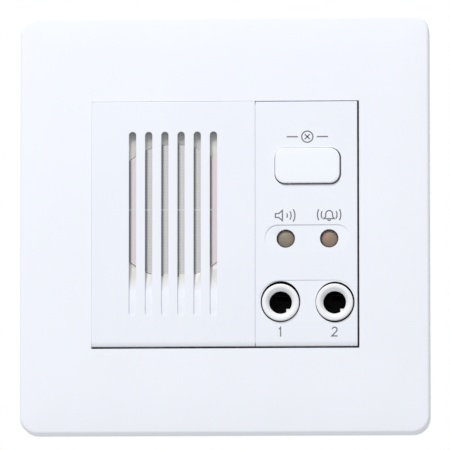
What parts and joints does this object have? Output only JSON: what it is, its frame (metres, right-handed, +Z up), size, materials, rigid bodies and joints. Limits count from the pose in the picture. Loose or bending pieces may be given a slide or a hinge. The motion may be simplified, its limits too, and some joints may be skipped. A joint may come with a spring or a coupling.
{
  "type": "nurse call button",
  "caption": "White flush wall station of a nurse call system: slotted loudspeaker grille, cancel button, indicator lamps and quarter-inch jack sockets for call cords.",
  "frame": {"origin": "on the wall's plane, at the middle of the cover plate and of the wall box's four screws", "axes": "+Z up, +X to the right seen from the front, the face looks along -Y, and the wall box lies along +Y"},
  "size_m": [0.117, 0.0431, 0.12],
  "materials": {
    "plate_plastic": "satin white moulding",
    "frame_plastic": "plain off-white moulding",
    "panel_plastic": "satin white moulding",
    "button_plastic": "satin white moulding",
    "case_plastic": "light grey moulding",
    "jack_plastic": "satin white moulding",
    "talk_lamp_lens": "diffused lamp body, unlit",
    "call_lamp_lens": "diffused lamp body, unlit",
    "zinc_steel": "zinc-plated sheet",
    "screw_steel": "zinc-plated",
    "speaker_cloth": "fine light grey weave",
    "gasket_foam": "closed foam",
    "basket_steel": "grey stamped sheet",
    "surround_rubber": "matt",
    "cone_paper": "pressed paper",
    "spider_cloth": "treated cloth",
    "coil_wire": "enamelled copper",
    "pole_steel": "plated steel",
    "ferrite": "sintered magnet",
    "strip_laminate": "brown laminate",
    "lead_insulation": "insulated wire",
    "spring_steel": "drawn wire",
    "tinned_wire": "tinned",
    "contact_silver": "plated strip",
    "black_plastic": "black moulding",
    "plunger_plastic": "ivory moulding",
    "spacer_plastic": "natural moulding",
    "board_laminate": "green solder mask",
    "ribbon_plastic": "grey ribbon",
    "core_steel": "laminated core",
    "winding_tape": "amber tape",
    "relay_plastic": "blue moulding",
    "capacitor_sleeve": "dark sleeve",
    "terminal_plastic": "green moulding"
  },
  "bodies": {
    "station": {"face_plate": "plate_plastic", "plate_frame": "frame_plastic", "plate_frame_screws": "screw_steel", "mounting_frame": "zinc_steel", "unit_case": "case_plastic", "unit_screws": "screw_steel", "rear_cover": "case_plastic", "rear_cover_screws": "screw_steel", "speaker_panel": "panel_plastic", "control_panel": "panel_plastic", "panel_screws": "screw_steel", "speaker_cloth": "speaker_cloth", "speaker_gasket": "gasket_foam", "speaker_basket": "basket_steel", "speaker_surround": "surround_rubber", "speaker_spider": "spider_cloth", "speaker_top_plate": "pole_steel", "speaker_magnet": "ferrite", "speaker_yoke": "pole_steel", "speaker_terminal_strip": "strip_laminate", "speaker_clamps": "zinc_steel", "speaker_clamp_screws": "screw_steel", "speaker_leads": "lead_insulation", "button_spring": "spring_steel", "switch_body": "black_plastic", "switch_pins": "tinned_wire", "talk_lamp": "talk_lamp_lens", "call_lamp": "call_lamp_lens", "talk_lamp_spacer": "spacer_plastic", "call_lamp_spacer": "spacer_plastic", "talk_lamp_leads": "tinned_wire", "call_lamp_leads": "tinned_wire", "left_jack_body": "jack_plastic", "right_jack_body": "jack_plastic", "left_jack_break_contact": "contact_silver", "right_jack_break_contact": "contact_silver", "front_board": "board_laminate", "front_board_screws": "screw_steel", "front_board_connector": "black_plastic", "ribbon_cable": "ribbon_plastic", "main_board": "board_laminate", "main_board_screws": "screw_steel", "main_board_connector": "black_plastic", "transformer_core": "core_steel", "transformer_winding": "winding_tape", "call_relay": "relay_plastic", "supply_capacitor": "capacitor_sleeve", "coupling_capacitor": "capacitor_sleeve", "amplifier_chip": "black_plastic", "terminal_block": "terminal_plastic", "terminal_screws": "screw_steel"},
    "button": {"cancel_button": "button_plastic", "switch_plunger": "plunger_plastic"},
    "cone": {"speaker_cone": "cone_paper", "speaker_dust_cap": "cone_paper", "speaker_voice_coil": "coil_wire"},
    "left_sleeve_contact": {"left_jack_sleeve_spring": "contact_silver"},
    "right_sleeve_contact": {"right_jack_sleeve_spring": "contact_silver"},
    "left_tip_contact": {"left_jack_tip_spring": "contact_silver"},
    "right_tip_contact": {"right_jack_tip_spring": "contact_silver"}
  },
  "joints": [
    {"name": "button_press", "type": "slide", "parent": "station", "child": "button", "axis": [0, 1, 0], "range_m": [0, 0.001], "stiffness_N_per_m": 900, "springref_m": -0.0008, "deforming": ["button_spring"]},
    {"name": "cone_travel", "type": "slide", "parent": "station", "child": "cone", "axis": [0, 1, 0], "range_m": [-0.0005, 0.0005], "stiffness_N_per_m": 2000, "deforming": ["speaker_surround", "speaker_spider"]},
    {"name": "left_sleeve_contact_swing", "type": "hinge", "parent": "station", "child": "left_sleeve_contact", "pos_m": [0.01876, 0.0216, -0.02536], "axis": [0.7314, 0, 0.682], "range_deg": [0, 1.3], "stiffness_Nm_per_rad": 0.5, "springref_deg": -0.57},
    {"name": "left_tip_contact_swing", "type": "hinge", "parent": "station", "child": "left_tip_contact", "pos_m": [0.016, 0.0216, -0.0181], "axis": [-1, 0, 0], "range_deg": [0, 5], "stiffness_Nm_per_rad": 0.08, "springref_deg": -1.15},
    {"name": "right_sleeve_contact_swing", "type": "hinge", "parent": "station", "child": "right_sleeve_contact", "pos_m": [0.03416, 0.0216, -0.02536], "axis": [0.7314, 0, 0.682], "range_deg": [0, 1.3], "stiffness_Nm_per_rad": 0.5, "springref_deg": -0.57},
    {"name": "right_tip_contact_swing", "type": "hinge", "parent": "station", "child": "right_tip_contact", "pos_m": [0.0314, 0.0216, -0.0181], "axis": [-1, 0, 0], "range_deg": [0, 5], "stiffness_Nm_per_rad": 0.08, "springref_deg": -1.15}
  ]
}
